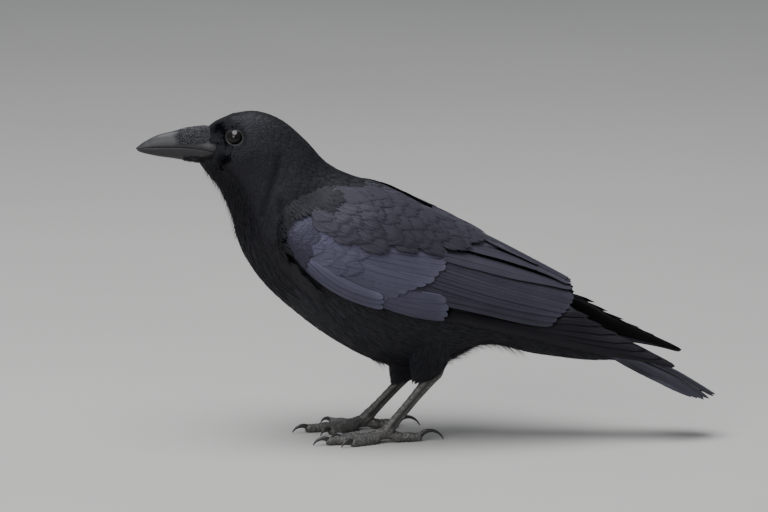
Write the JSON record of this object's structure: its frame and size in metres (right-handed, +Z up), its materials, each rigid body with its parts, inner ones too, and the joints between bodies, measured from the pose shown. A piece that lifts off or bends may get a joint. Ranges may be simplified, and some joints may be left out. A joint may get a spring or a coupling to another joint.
{
  "type": "crow figure",
  "caption": "Standing black crow in side-on pose, wings folded along its body, stout bill closed, feathered trunk on bare scaly legs with clawed toes.",
  "frame": {"origin": "on the ground plane, under the middle of the overall box", "axes": "+Z up, -X towards the bill, +X towards the tail tip, -Y towards the bird's left side"},
  "size_m": [0.4522, 0.116, 0.2575],
  "materials": {
    "body_feathers": "soft matte black plumage with a faint cool sheen",
    "flight_feathers": "smooth satin black feather with a blue-violet sheen",
    "bill": "satin dark grey horn",
    "leg_scales": "dull dark grey scutes",
    "claws": "polished black horn",
    "eye": "wet, very dark brown"
  },
  "bodies": {
    "root": {"bill_upper": "bill", "bill_lower": "bill", "eye_left": "eye", "eye_right": "eye", "wing_left_coverts": "flight_feathers", "wing_left_tertials": "flight_feathers", "wing_left_secondaries": "flight_feathers", "wing_left_primaries": "flight_feathers", "wing_right_coverts": "flight_feathers", "wing_right_tertials": "flight_feathers", "wing_right_secondaries": "flight_feathers", "wing_right_primaries": "flight_feathers", "tail_left": "flight_feathers", "tail_centre": "flight_feathers", "tail_right": "flight_feathers", "thigh_left": "body_feathers", "shank_left": "leg_scales", "toe_left_middle": "leg_scales", "claw_left_middle": "claws", "toe_left_hind": "leg_scales", "claw_left_hind": "claws", "toe_left_inner": "leg_scales", "claw_left_inner": "claws", "toe_left_outer": "leg_scales", "claw_left_outer": "claws", "thigh_right": "body_feathers", "shank_right": "leg_scales", "toe_right_middle": "leg_scales", "claw_right_middle": "claws", "toe_right_hind": "leg_scales", "claw_right_hind": "claws", "toe_right_inner": "leg_scales", "claw_right_inner": "claws", "toe_right_outer": "leg_scales", "claw_right_outer": "claws", "head": "body_feathers", "neck": "body_feathers", "trunk": "body_feathers"}
  },
  "joints": []
}
